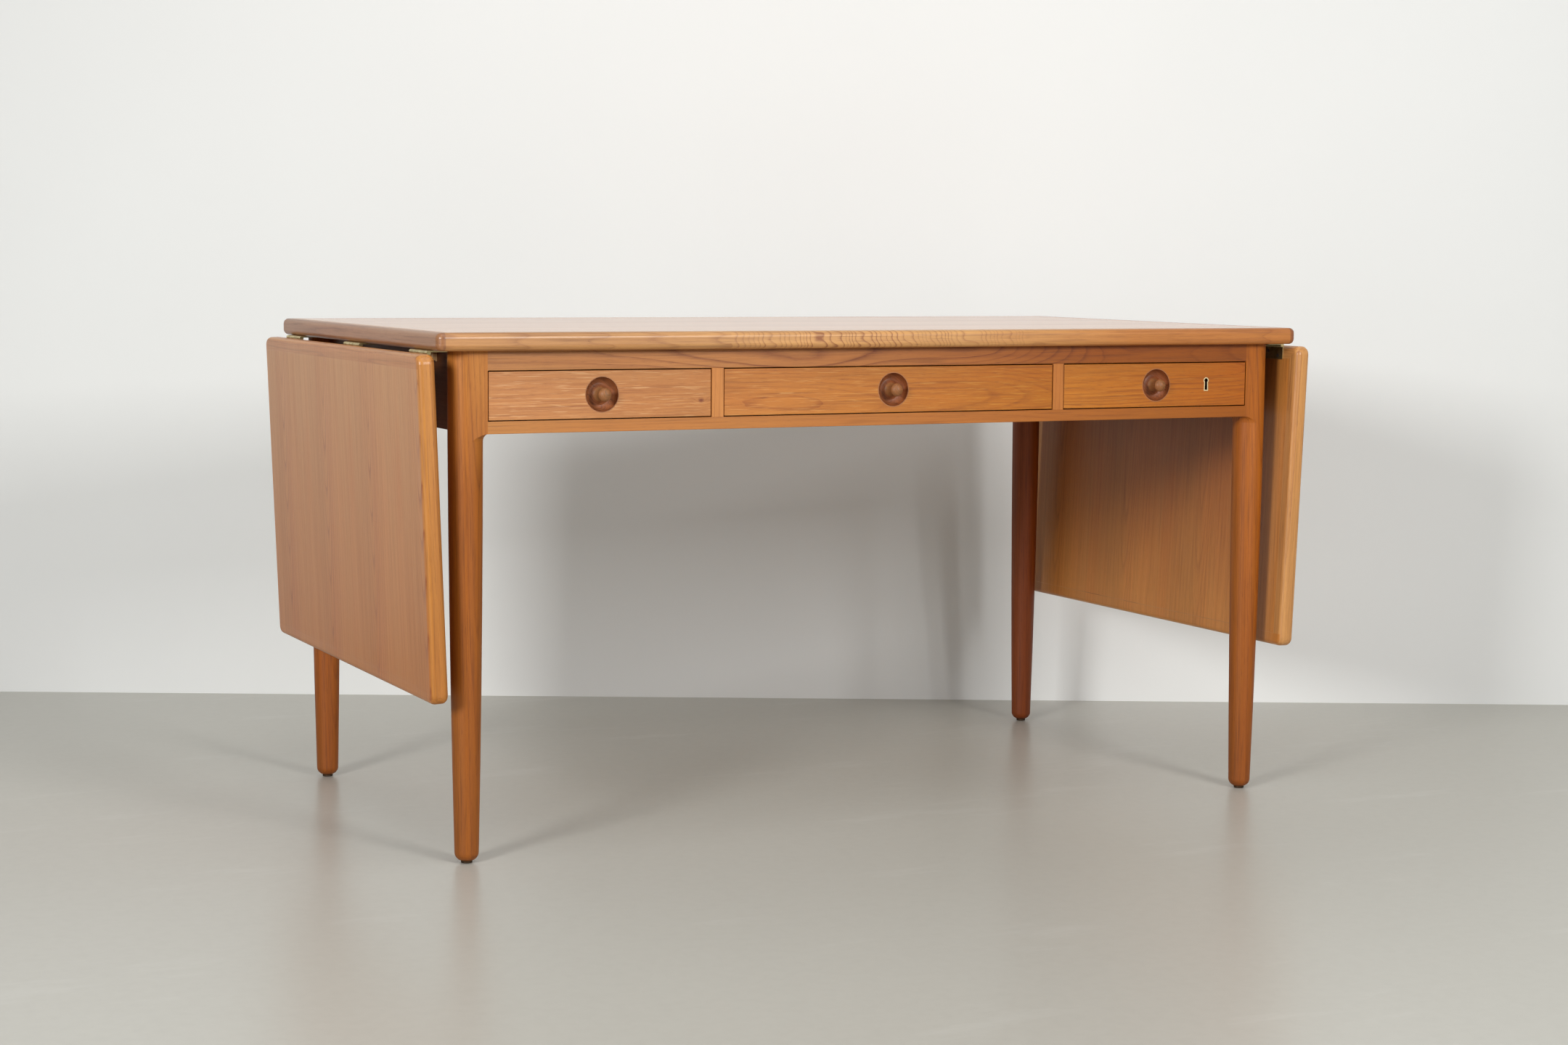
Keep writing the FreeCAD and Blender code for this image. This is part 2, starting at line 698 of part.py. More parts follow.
def drawer(name, low, high):
    """A dovetailed drawer between the x values of its opening."""
    left = low + drawer_gap
    right = high - drawer_gap
    side_x = {"left": (left, left + drawer_side_thickness),
              "right": (right - drawer_side_thickness, right)}
    inner = (side_x["left"][1], side_x["right"][0])
    middle = (low + high) / 2
    panel_x = (inner[0] - groove_depth + joint_fit, inner[1] + groove_depth - joint_fit)
    panel_ranges = (panel_x, (front_inner - groove_depth + joint_fit, drawer_back),
                    (panel_bottom, panel_top))
    groove = box((panel_x[0] - joint_fit, panel_x[1] + joint_fit),
                 (panel_ranges[1][0] - joint_fit, drawer_back + overrun),
                 (panel_bottom - joint_fit, panel_top + joint_fit))
    front = softened(box((left, right), (frame_front, front_inner), (drawer_bottom, drawer_top)))
    seat = Part.makeCylinder(pull_radius, pull_back_depth + overrun,
                             V(middle, frame_front - overrun, pull_z), Y_AXIS)
    sockets = [shape for x in side_x.values() for shape in tails(grown([x], joint_fit)[0], joint_fit)]
    parts["drawer_%s_front" % name] = front.cut([groove, seat] + sockets)
    for side, x in side_x.items():
        board = box(x, (front_inner, drawer_back), (side_bottom, side_top))
        parts["drawer_%s_side_%s" % (name, side)] = board.fuse(tails(x)).removeSplitter().cut(groove)
    parts["drawer_%s_back" % name] = box(inner, (drawer_back - drawer_back_thickness, drawer_back),
                                         (panel_top, side_top - drawer_back_drop))
    parts["drawer_%s_bottom" % name] = box(*panel_ranges)
    parts["drawer_%s_pull" % name] = pull(middle)


drawer("left", -opening_end, -divider_outer)
drawer("middle", -middle_half, middle_half)
drawer("right", divider_outer, opening_end)


# Lock and keyhole of the right drawer

def keyhole(wall, depth):
    """A keyhole-shaped plug from in front of the drawer to depth behind its face."""
    start = frame_front - overrun
    length = overrun + depth
    head = Part.makeCylinder(key_radius + wall, length, V(lock_x, start, key_z), Y_AXIS)
    top_half = key_slot_top_width / 2 + wall
    foot_half = key_slot_bottom_width / 2 + wall
    foot = key_z - key_slot_drop - wall
    outline = [V(lock_x - top_half, start, key_z), V(lock_x + top_half, start, key_z),
               V(lock_x + foot_half, start, foot), V(lock_x - foot_half, start, foot)]
    slot = Part.Face(Part.makePolygon(outline + outline[:1])).extrude(V(0, length, 0))
    return head.fuse(slot).removeSplitter()


plate_ranges = ((lock_x - lock_plate_width / 2, lock_x + lock_plate_width / 2),
                (front_inner - lock_plate_thickness, front_inner), (key_z - lock_plate_drop, drawer_top))
case_ranges = ((lock_x - lock_case_width / 2, lock_x + lock_case_width / 2),
               (front_inner - lock_case_depth, front_inner), (key_z - lock_case_drop, drawer_top))
lock_screw_size = (small_head_radius, small_shank_radius, lock_plate_thickness, lock_screw_length)


def lock_screw_parts(shape):
    """The same shape at the lock plate's four corners, pointing into the drawer front."""
    forward = shape.copy()
    forward.rotate(ORIGIN, X_AXIS, 90)
    low = plate_ranges[2][0] + lock_screw_edge
    high = plate_ranges[2][1] - lock_screw_edge
    reach = lock_plate_width / 2 - lock_screw_edge
    return [placed(forward, lock_x + side * reach, front_inner, z)
            for side in (-1, 1) for z in (low, high)]


def lock_case():
    """The case with its plate, open on top for the bolt, with a keyhole and a post for the key."""
    inside = ((case_ranges[0][0] + lock_wall, case_ranges[0][1] - lock_wall),
              (case_ranges[1][0] + lock_wall, front_inner - lock_plate_thickness),
              (case_ranges[2][0] + lock_wall, drawer_top - lock_wall))
    mouth = box((lock_x - bolt_width / 2 - bolt_play, lock_x + bolt_width / 2 + bolt_play),
                (bolt_y - bolt_thickness / 2 - bolt_play, bolt_y + bolt_thickness / 2 + bolt_play),
                (inside[2][0], drawer_top + overrun))
    shell = box(*case_ranges).fuse(box(*plate_ranges)).removeSplitter()
    keyway = keyhole(0, drawer_front_thickness - lock_case_depth + lock_wall + bolt_play)
    post = Part.makeCylinder(lock_post_radius, inside[1][1] - inside[1][0] + lock_wall,
                             V(lock_x, case_ranges[1][0], key_z), Y_AXIS)
    hollow = shell.cut([box(*inside), mouth, keyway] + lock_screw_parts(screw_hole(*lock_screw_size)))
    return hollow.fuse(post).removeSplitter()


parts["lock_case"] = lock_case()
parts["lock_screws"] = lock_screw_parts(countersunk_screw(*lock_screw_size))
parts["lock_bolt"] = box((lock_x - bolt_width / 2, lock_x + bolt_width / 2),
                         (bolt_y - bolt_thickness / 2, bolt_y + bolt_thickness / 2),
                         (drawer_top - bolt_inset - bolt_height, drawer_top - bolt_inset))
rim_plug = keyhole(escutcheon_wall, escutcheon_depth)
face_plane = box(grown([case_ranges[0]], overrun)[0], (frame_front - escutcheon_proud, front_inner),
                 (apron_bottom, underside))
parts["lock_escutcheon"] = rim_plug.cut(keyhole(0, drawer_front_thickness)).common(face_plane)
lock_room = [box(*grown(plate_ranges[:1], joint_fit), grown(plate_ranges[1:2], joint_fit)[0],
                 (plate_ranges[2][0] - joint_fit, drawer_top + overrun)),
             box(*grown(case_ranges[:1], joint_fit), grown(case_ranges[1:2], joint_fit)[0],
                 (case_ranges[2][0] - joint_fit, drawer_top + overrun))]
lock_room += [rim_plug, keyhole(0, drawer_front_thickness)]
lock_room += lock_screw_parts(screw_hole(*lock_screw_size))
parts["drawer_right_front"] = parts["drawer_right_front"].cut(lock_room)


# Files

os.makedirs("parts", exist_ok=True)
for name, shape in parts.items():
    pieces = shape if isinstance(shape, list) else [shape]
    solids = [solid for piece in pieces for solid in piece.Solids]
    result = solids[0] if len(solids) == 1 else Part.makeCompound(solids)
    result.exportStep("parts/%s.step" % name)
    flat = "" if all(solid.isValid() for solid in solids) else " not valid"
    print(name, len(solids), "solids, volume", round(sum(solid.Volume for solid in solids)), flat)
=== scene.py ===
import math

import bpy
from mathutils import Matrix, Vector


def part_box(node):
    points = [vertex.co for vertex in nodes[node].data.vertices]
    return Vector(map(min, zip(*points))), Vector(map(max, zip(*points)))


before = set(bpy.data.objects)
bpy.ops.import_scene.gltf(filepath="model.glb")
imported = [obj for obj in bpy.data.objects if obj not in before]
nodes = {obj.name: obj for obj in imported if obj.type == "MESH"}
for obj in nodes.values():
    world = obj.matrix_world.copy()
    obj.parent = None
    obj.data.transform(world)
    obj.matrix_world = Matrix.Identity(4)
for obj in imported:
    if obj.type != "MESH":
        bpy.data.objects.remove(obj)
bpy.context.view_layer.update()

# An oak writing desk with a hinged leaf at each end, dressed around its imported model.
# Metres, X to the right, Y to the back, Z up, floor at 0.

# The camera, fitted to the photograph's edges
camera_place = (-1.84503, -3.76239, 0.83907)
camera_yaw = math.radians(26.1283)
camera_pitch = math.radians(5.7717)
camera_roll = math.radians(0.4881)
camera_lens = 61.18
sensor_width = 36.0

# The room: a wall square to the view, which leans back a little to clear the raised leaf
wall_distance = 4.99
wall_lean = math.radians(6.0)
wall_size = (12.0, 6.0)
floor_size = 40.0

# Two soft boxes beside the camera, where the leg shadows on the floor point back to, and a wide soft
# panel overhead: each with its place, what it points at, its size, its power and its spread
lamps = {
    "soft_box_left": ((-4.06, -2.74, 1.85), (0.3, 1.0, 1.35), 1.0, 80.0, math.radians(140)),
    "soft_box_right": ((0.83, -4.28, 1.95), (0.3, 1.0, 1.35), 1.0, 58.0, math.radians(140)),
    "overhead_panel": ((-0.5, -1.7, 3.4), (-0.5, -1.7, 0.0), 2.6, 45.0, math.radians(180)),
}
room_light = 0.1
room_seen = 0.6

# How the leaves hang, and how far they reach from their pins
leaf_pin = (0.7003, 0.0, 0.702)
leaf_lean = math.radians(2.2)
leaf_reach = (0.0003, 0.4723)
leaf_face = (0.003, 0.028)

# The solid strips round a leaf, and the rounding of their long edges
leaf_strip_width = 0.019
leaf_arris = 0.0012

# The veneer is laid in sheets cut one after another from the same log, with the figure strongest at a sheet's
# crown. The leaves' tongues draw together by a share of the way along.
veneer_width = 0.22
veneer_middle = 0.075
veneer_step = 0.0011
crown_reach = 0.055
crown_core = crown_reach * 0.4
crown_figure = (1.0, 0.15)
leaf_taper = 0.05
inner_leaf_taper = 0.03

white = (1.0, 1.0, 1.0, 1.0)


def srgb(red, green, blue):
    """A colour as it looks on a screen, from 0 to 255, as the linear RGBA that shaders take."""
    def linear(value):
        share = value / 255
        return share / 12.92 if share <= 0.04045 else ((share + 0.055) / 1.055) ** 2.4
    return (linear(red), linear(green), linear(blue), 1.0)


# Small helpers for shader nodes

def add(tree, kind, inputs=None, **settings):
    """A shader node with its settings, and its inputs as values or as other nodes' outputs."""
    made = tree.nodes.new(kind)
    for name, value in settings.items():
        setattr(made, name, value)
    for name, value in (inputs or {}).items():
        if isinstance(value, bpy.types.NodeSocket):
            tree.links.new(value, made.inputs[name])
        else:
            made.inputs[name].default_value = value
    return made


def maths(tree, operation, *values, clamp=False):
    made = add(tree, "ShaderNodeMath", dict(enumerate(values)), operation=operation, use_clamp=clamp)
    return made.outputs[0]


def vector_maths(tree, operation, *values):
    made = add(tree, "ShaderNodeVectorMath", dict(enumerate(values)), operation=operation)
    return made.outputs["Value" if operation in ("LENGTH", "DOT_PRODUCT") else "Vector"]


def scaled(tree, vector, scale):
    return vector_maths(tree, "MULTIPLY", vector, scale)


def joined(tree, x, y, z):
    return add(tree, "ShaderNodeCombineXYZ", {"X": x, "Y": y, "Z": z}).outputs[0]


def parted(tree, vector):
    return add(tree, "ShaderNodeSeparateXYZ", {"Vector": vector}).outputs[:]


def noise(tree, vector, detail=2.0, roughness=0.5, output="Fac"):
    """A noise from 0 to 1 with one wave per unit of the vector."""
    made = add(tree, "ShaderNodeTexNoise", {"Vector": vector, "Scale": 1.0, "Detail": detail,
                                            "Roughness": roughness})
    return made.outputs[output]


def sway(tree, vector, reach):
    """A slow wandering of up to half the reach each way."""
    wave = noise(tree, vector, 2.0, 0.45, "Color")
    return scaled(tree, vector_maths(tree, "SUBTRACT", wave, (0.5, 0.5, 0.5)), reach)


def wave_noise(tree, place, waves, detail=2.0, roughness=0.5):
    """A noise with so many waves per metre along each axis of the place."""
    return noise(tree, scaled(tree, place, waves), detail, roughness)


def spread(tree, value, low, high, start=0.0, end=1.0):
    """The value from low to high, stretched over start to end and held there."""
    made = add(tree, "ShaderNodeMapRange", {"Value": value, "From Min": low, "From Max": high,
                                            "To Min": start, "To Max": end})
    return made.outputs["Result"]


def blended(tree, share, first, second):
    """A colour between the first and the second; the mix node's colour sockets are 6, 7 and 2."""
    return add(tree, "ShaderNodeMix", {0: share, 6: first, 7: second}, data_type="RGBA").outputs[2]


def chosen(tree, share, first, second):
    """The first vector or the second; the mix node's vector sockets are 4, 5 and 1."""
    return add(tree, "ShaderNodeMix", {0: share, 4: first, 5: second}, data_type="VECTOR").outputs[1]


def shaded(tree, colour, level):
    """A colour times a level that varies over the surface."""
    return add(tree, "ShaderNodeVectorMath", {0: colour, "Scale": level}, operation="SCALE").outputs[0]


def tinted(tree, colour, share, first, second):
    """The colour times a tint that runs from the first to the second."""
    return vector_maths(tree, "MULTIPLY", colour, blended(tree, share, first, second))


def object_place(tree):
    return add(tree, "ShaderNodeTexCoord").outputs["Object"]


def new_material(name):
    material = bpy.data.materials.new(name)
    material.use_nodes = True
    material.node_tree.nodes.clear()
    return material, material.node_tree


def surface(tree, height=None, bump_strength=0.3, bump_distance=0.0004, **inputs):
    """The material's shader and its output, with a bump where there is a height."""
    shader = add(tree, "ShaderNodeBsdfPrincipled", {name.replace("_", " "): value
                                                    for name, value in inputs.items()})
    if height is not None:
        bump = add(tree, "ShaderNodeBump", {"Strength": bump_strength, "Distance": bump_distance,
                                            "Height": height})
        tree.links.new(bump.outputs[0], shader.inputs["Normal"])
    add(tree, "ShaderNodeOutputMaterial", {"Surface": shader.outputs[0]})


# Wood

# The waves per metre of each kind of mark, along the grain and across it
bend_waves = (1.1, 2.2, 2.2)
ripple_waves = (8.0, 45.0, 45.0)
patch_waves = (0.9, 12.0, 12.0)
fibre_waves = (4.0, 200.0, 200.0)
streak_waves = (9.0, 320.0, 320.0)
pore_waves = (55.0, 1200.0, 1200.0)
fleck_waves = (26.0, 520.0, 520.0)
tone_waves = (0.8, 8.0, 8.0)
blush_waves = (1.6, 16.0, 16.0)

# How far the ripples move the rings, where the flecks and the redder patches take their noise from, and how
# red those patches are
ripple_reach = 0.0018
fleck_shift = (3.0, 3.0, 3.0)
blush_shift = (7.0, 7.0, 7.0)
blush_tint = (1.03, 0.93, 0.86, 1.0)

# An oiled board's roughness, from bare wood to its marks
wood_roughness = (0.38, 0.54)


def wood_group(name, light, dark, pore, ring, pith, sweep, lines=0.8, streaks=0.4, pores=0.5, flecks=0.0,
               mottle=0.12, fibres=0.34):
    """A board with its grain along the vector's X, cut from rings round a pith behind its face.

    ring is a year's width, pith the place of the pith across the grain, and sweep how far the rings bend. The
    other numbers are the strengths of the marks. Figure weakens the rings' lines where it is under 1, and
    Swell pushes the rings out by a length.
    """
    group = bpy.data.node_groups.new(name, "ShaderNodeTree")
    group.interface.new_socket("Vector", in_out="INPUT", socket_type="NodeSocketVector")
    for given, start in (("Figure", 1.0), ("Swell", 0.0)):
        socket = group.interface.new_socket(given, in_out="INPUT", socket_type="NodeSocketFloat")
        socket.default_value = start
    for output, kind in (("Color", "Color"), ("Roughness", "Float"), ("Height", "Float")):
        group.interface.new_socket(output, in_out="OUTPUT", socket_type="NodeSocket" + kind)
    given = add(group, "NodeGroupInput").outputs
    place = given["Vector"]

    # The rings bend along the board and ripple a little, so that they leave its face in long tongues
    bent = place
    for waves, reach in ((bend_waves, sweep), (ripple_waves, ripple_reach)):
        bent = vector_maths(group, "ADD", bent, sway(group, scaled(group, place, waves), (0.0, reach, reach)))
    across = scaled(group, vector_maths(group, "SUBTRACT", bent, (0.0, *pith)), (0.0, 1.0, 1.0))
    radius = maths(group, "SUBTRACT", vector_maths(group, "LENGTH", across), given["Swell"])
    years = maths(group, "DIVIDE", radius, ring)
    phase = maths(group, "FRACT", years)
    year = add(group, "ShaderNodeTexWhiteNoise", {"W": maths(group, "FLOOR", years)},
               noise_dimensions="1D").outputs["Value"]

    # Each year starts with a dark line that fades; some years and some patches are stronger
    fade = spread(group, phase, 0.0, 0.45, 1.0, 0.0)
    line = maths(group, "MAXIMUM", maths(group, "MULTIPLY", fade, fade), spread(group, phase, 0.88, 1.0))
    patch = spread(group, wave_noise(group, place, patch_waves), 0.36, 0.6, 0.25, 1.0)
    strength = maths(group, "MULTIPLY", spread(group, year, 0.0, 1.0, 0.25 * lines, lines), patch)
    line = maths(group, "MULTIPLY", line, maths(group, "MULTIPLY", strength, given["Figure"]))

    # Fibres, long streaks, and pores as short dark dashes, thickest along the lines
    fibre = wave_noise(group, place, fibre_waves, 3.0, 0.55)
    streak = wave_noise(group, place, streak_waves, 3.0, 0.55)
    dash = wave_noise(group, place, pore_waves, 2.0, 0.6)
    dash = maths(group, "MULTIPLY", spread(group, dash, 0.55, 0.66, 0.0, pores),
                 spread(group, line, 0.0, 0.5, 0.4, 1.0))
    marks = maths(group, "MAXIMUM", dash, spread(group, streak, 0.52, 0.7, 0.0, streaks))
    depth = maths(group, "ADD", line, spread(group, fibre, 0.35, 0.7, 0.0, fibres), clamp=True)
    colour = blended(group, depth, light, dark)
    colour = blended(group, marks, colour, pore)

    # Short flecks are paler than the light wood
    fleck = wave_noise(group, vector_maths(group, "ADD", place, fleck_shift), fleck_waves)
    pale = [channel * 0.45 + 0.55 * (channel ** 0.6) for channel in light[:3]] + [1.0]
    colour = blended(group, spread(group, fleck, 0.56, 0.68, 0.0, flecks), colour, pale)

    # The tone drifts over the board, and redder patches with it
    tone = wave_noise(group, place, tone_waves)
    colour = shaded(group, colour, spread(group, tone, 0.32, 0.68, 1.0 - mottle, 1.0 + mottle))
    blush = wave_noise(group, vector_maths(group, "ADD", place, blush_shift), blush_waves, 3.0, 0.6)
    colour = tinted(group, colour, spread(group, blush, 0.4, 0.7), white, blush_tint)
    roughness = spread(group, maths(group, "ADD", marks, fibre), 0.2, 1.4, *wood_roughness)
    height = maths(group, "SUBTRACT", maths(group, "MULTIPLY", fibre, 0.2), marks)
    add(group, "NodeGroupOutput", {"Color": colour, "Roughness": roughness, "Height": height})
    return group


groups = {
    "front_left": wood_group("oak_front_left", srgb(190, 130, 76), srgb(152, 90, 50), srgb(116, 62, 34),
                             0.0027, (0.05, 0.022), 0.05, lines=0.6, pores=0.65, flecks=0.9, mottle=0.08),
    "front_middle": wood_group("oak_front_middle", srgb(190, 122, 54), srgb(146, 80, 32), srgb(108, 56, 22),
                               0.0029, (0.055, -0.02), 0.07, lines=0.7, pores=0.65, flecks=0.6, mottle=0.1),
    "front_right": wood_group("oak_front_right", srgb(184, 110, 34), srgb(140, 72, 18), srgb(98, 46, 10),
                              0.003, (0.055, 0.02), 0.07, lines=0.8, pores=0.65, flecks=0.3, mottle=0.1),
    "rail": wood_group("oak_rail", srgb(192, 128, 70), srgb(134, 74, 38), srgb(90, 44, 21),
                       0.0026, (0.05, 0.004), 0.11, lines=1.0, pores=0.5, mottle=0.12),
    "plain_rail": wood_group("oak_plain_rail", srgb(192, 129, 66), srgb(164, 101, 49), srgb(124, 73, 33),
                             0.0026, (0.05, -0.03), 0.03, lines=0.45),
    "leg": wood_group("oak_leg", srgb(165, 95, 32), srgb(120, 61, 19), srgb(76, 34, 10),
                      0.003, (0.045, 0.025), 0.03, lines=0.65),
    "veneer": wood_group("oak_veneer", srgb(190, 132, 78), srgb(132, 64, 42), srgb(112, 61, 32),
                         0.0036, (0.0, -0.014), 0.012, lines=0.9, streaks=0.1, pores=0.4, mottle=0.05,
                         fibres=0.2),
    "inner_veneer": wood_group("oak_inner_veneer", srgb(186, 118, 56), srgb(134, 74, 32), srgb(102, 52, 22),
                               0.004, (0.0, 0.014), 0.04, lines=0.4, streaks=0.25, pores=0.5, mottle=0.08,
                               fibres=0.25),
    "pale_veneer": wood_group("oak_pale_veneer", srgb(212, 160, 118), srgb(170, 112, 76), srgb(146, 92, 60),
                              0.0042, (0.0, -0.014), 0.02, lines=0.9, streaks=0.35, pores=0.45,
                              mottle=0.08),
    "edging": wood_group("oak_edging", srgb(199, 134, 61), srgb(140, 78, 32), srgb(104, 55, 22),
                         0.0034, (-0.016, 0.0), 0.012, lines=1.1),
    "pale": wood_group("pale_oak", srgb(206, 174, 128), srgb(184, 146, 98), srgb(134, 98, 62),
                       0.0042, (0.04, -0.06), 0.05, lines=0.7),
    "dark": wood_group("dark_wood", srgb(150, 88, 50), srgb(84, 44, 24), srgb(48, 24, 13),
                       0.002, (0.03, -0.02), 0.004, lines=1.0, streaks=0.5),
}

# Painted light and shade on the light woods, as tints. Painted shade makes the fronts, the rails and the
# top's front strip darker and redder towards the right end, the right divider darker than the left, the legs
# darker towards their feet, the leaves and the left leaf's edging darker down from the hinge, and the rear
# right leg and the end aprons darker all over; a painted shadow darkens the right leaf's inner face near its
# hinge, and painted light pales it lower down. Painted sheen makes the leaves near their hinges, the top's
# front strip towards its middle, the nearest leg's head and the right leaf's edging paler and greyer. A tint
# multiplies a wood's colour. A pair
# runs along the piece: from its left end to its right end, from a leg's foot to its head, or down a leaf from
# its hinge.
front_left_shade_tint = (0.92, 0.9, 0.78, 1.0)
front_middle_shade_tints = (white, (0.83, 0.72, 0.25, 1.0))
front_right_shade_tints = ((1.02, 1.08, 1.0, 1.0), (0.86, 0.74, 0.38, 1.0))
top_rail_shade_tints = ((0.9, 0.97, 1.0, 1.0), (0.54, 0.36, 0.12, 1.0))
bottom_rail_shade_tints = ((0.96, 1.0, 0.98, 1.0), (0.62, 0.42, 0.1, 1.0))
right_divider_shade_tint = (0.86, 0.76, 0.6, 1.0)
nearest_leg_shade_and_sheen_tints = ((0.86, 0.85, 0.45, 1.0), (1.33, 1.7, 2.1, 1.0))
leg_tints = ((0.78, 0.69, 0.22, 1.0), (1.1, 1.07, 0.55, 1.0))
shade_tint = (0.62, 0.42, 0.12, 1.0)
deep_shade_tint = (0.3, 0.22, 0.18, 1.0)
front_strip_sheen_tints = ((0.9, 1.06, 1.8, 1.0), (1.18, 1.5, 2.7, 1.0))
front_strip_end_shade_tint = (0.74, 0.53, 0.34, 1.0)
end_strip_tint = (0.66, 0.6, 0.7, 1.0)
leaf_tints = ((1.11, 1.18, 1.34, 1.0), (0.94, 0.78, 0.54, 1.0))
inner_leaf_shadow_tints = ((0.51, 0.29, 0.12, 1.0), (1.18, 1.3, 1.3, 1.0))
hinge_strip_tint = (0.84, 0.72, 0.9, 1.0)
left_leaf_edge_shade_tint = (0.93, 0.84, 0.62, 1.0)
right_leaf_edge_sheen_tint = (1.15, 1.34, 2.1)

# The stretches along which pieces of their own kind change from one tint to the next: from the middle of the
# piece along X, or from the middle of a leaf down
front_left_deepens = (-0.1, 0.18)
top_rail_deepens = (-0.35, 0.35)
front_strip_brightens = (-0.45, -0.15)
front_strip_deepens = (0.1, 0.4)
leaf_deepens = (-0.22, 0.22)
inner_leaf_brightens = (-0.2, 0.2)
left_leaf_edge_deepens = (-0.1, 0.2)

# The top rail's figure weakens to the right
rail_figure_fade = (0.1, 0.5)
rail_figure = (1.0, 0.45)

# The legs are duller than the fronts, and the nearest one's tint changes only from this share of its half
# length up
leg_dullness = 0.1
head_start = 0.45

# Each board of a kind comes from its own stretch of wood
board_shift = (0.37, 0.004, 0.003)


def from_middle(tree, name):
    """The place from the middle of a node's box, and half the box's size."""
    low, high = (Vector(corner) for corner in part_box(name))
    return vector_maths(tree, "SUBTRACT", object_place(tree), tuple((low + high) / 2)), (high - low) / 2


def turned_place(tree, place, grain, shift):
    """The place with the grain's direction turned onto X, and shifted to its own stretch of wood."""
    turn = {"X": (0.0, 0.0, 0.0), "Y": (0.0, 0.0, math.radians(-90)), "Z": (0.0, math.radians(90), 0.0)}
    return add(tree, "ShaderNodeMapping", {"Vector": place, "Location": shift,
                                           "Rotation": turn[grain]}).outputs[0]


def cut_wood(tree, kind, place, figure=1.0, swell=0.0):
    """The wood of one kind at a place, with its figure and swell."""
    return add(tree, "ShaderNodeGroup", {"Vector": place, "Figure": figure, "Swell": swell},
               node_tree=groups[kind]).outputs


def oiled(tree, cut, colour=None, **inputs):
    """A satin oiled surface of cut wood."""
    settings = {"Roughness": cut["Roughness"], "Specular_IOR_Level": 0.4}
    settings.update(inputs)
    surface(tree, cut["Height"], Base_Color=colour or cut["Color"], **settings)


def board(kind, grain, low=white, high=white, dull=0.0, start=-1.0):
    """Makes a material for a solid board with its grain along one axis.

    The tint runs from low to high along the grain, from start, a share of the half length, to the far end.
    """
    def make(name, index):
        material, tree = new_material(name + "_wood")
        place, half = from_middle(tree, name)
        axis = "XYZ".index(grain)
        share = spread(tree, parted(tree, place)[axis], start * half[axis], half[axis])
        place = turned_place(tree, place, grain, tuple(step * index for step in board_shift))
        cut = cut_wood(tree, kind, place)
        oiled(tree, cut, tinted(tree, cut["Color"], share, low, high),
              Roughness=maths(tree, "ADD", cut["Roughness"], dull))
        return material
    return make


# A small knot in the left drawer's front, which the rings go round. It is longer along the grain.
knot_place = (-0.3062, -0.358, 0.6329)
knot_radius = 0.0024
knot_squeeze = (0.7, 0.4, 1.0)
knot_reach = knot_radius * 5
knot_swell = 0.007
knot_heart = (knot_radius * 0.5, knot_radius * 1.6)
knot_colour = srgb(112, 50, 30)


def front_left(name, index):
    material, tree = new_material(name + "_wood")
    place, _ = from_middle(tree, name)
    away = vector_maths(tree, "SUBTRACT", object_place(tree), knot_place)
    apart = vector_maths(tree, "LENGTH", scaled(tree, away, knot_squeeze))
    near = spread(tree, apart, 0.0, knot_reach, 1.0, 0.0)
    swell = maths(tree, "MULTIPLY", maths(tree, "MULTIPLY", near, near), knot_swell)
    cut = cut_wood(tree, "front_left", place, swell=swell)
    heart = spread(tree, apart, *knot_heart, 0.85, 0.0)
    # Painted shade: the drawer front is darker towards its right end.
    along = spread(tree, parted(tree, place)[0], *front_left_deepens)
    colour = tinted(tree, cut["Color"], along, white, front_left_shade_tint)
    oiled(tree, cut, blended(tree, heart, colour, knot_colour))
    return material


def top_rail(name, index):
    """The top rail is plainer towards its right end, and darker there with painted shade."""
    material, tree = new_material(name + "_wood")
    place, _ = from_middle(tree, name)
    along = parted(tree, place)[0]
    cut = cut_wood(tree, "rail", place, spread(tree, along, *rail_figure_fade, *rail_figure))
    oiled(tree, cut, tinted(tree, cut["Color"], spread(tree, along, *top_rail_deepens), *top_rail_shade_tints))
    return material


# How far from the middle of the log a mitred frame's two long strips are cut, and its two end strips
long_strip_shift = 2.0
end_strip_shift = 3.0


def strip_place(tree, place, half_length, half_width):
    """The place in a mitred frame: along the strip, in from its outer edge, and up."""
    x, y, z = parted(tree, place)
    from_end = maths(tree, "SUBTRACT", maths(tree, "ABSOLUTE", x), half_length)
    from_side = maths(tree, "SUBTRACT", maths(tree, "ABSOLUTE", y), half_width)
    shift = maths(tree, "MULTIPLY", maths(tree, "SIGN", y), long_strip_shift)
    side = joined(tree, maths(tree, "ADD", x, shift), from_side, z)
    shift = maths(tree, "MULTIPLY", maths(tree, "SIGN", x), end_strip_shift)
    end = joined(tree, maths(tree, "ADD", y, shift), from_end, z)
    return chosen(tree, maths(tree, "GREATER_THAN", from_end, from_side), side, end)


def sheet_place(tree, place):
    """The place on the veneer sheet that covers it, and how far aside it is from the sheet's crown."""
    x, y, z = parted(tree, place)
    y = maths(tree, "SUBTRACT", y, veneer_middle)
    sheets = maths(tree, "FLOOR", maths(tree, "ADD", maths(tree, "DIVIDE", y, veneer_width), 0.5))
    y = maths(tree, "SUBTRACT", y, maths(tree, "MULTIPLY", sheets, veneer_width))
    z = maths(tree, "ADD", z, maths(tree, "MULTIPLY", sheets, veneer_step))
    return joined(tree, x, y, z), y


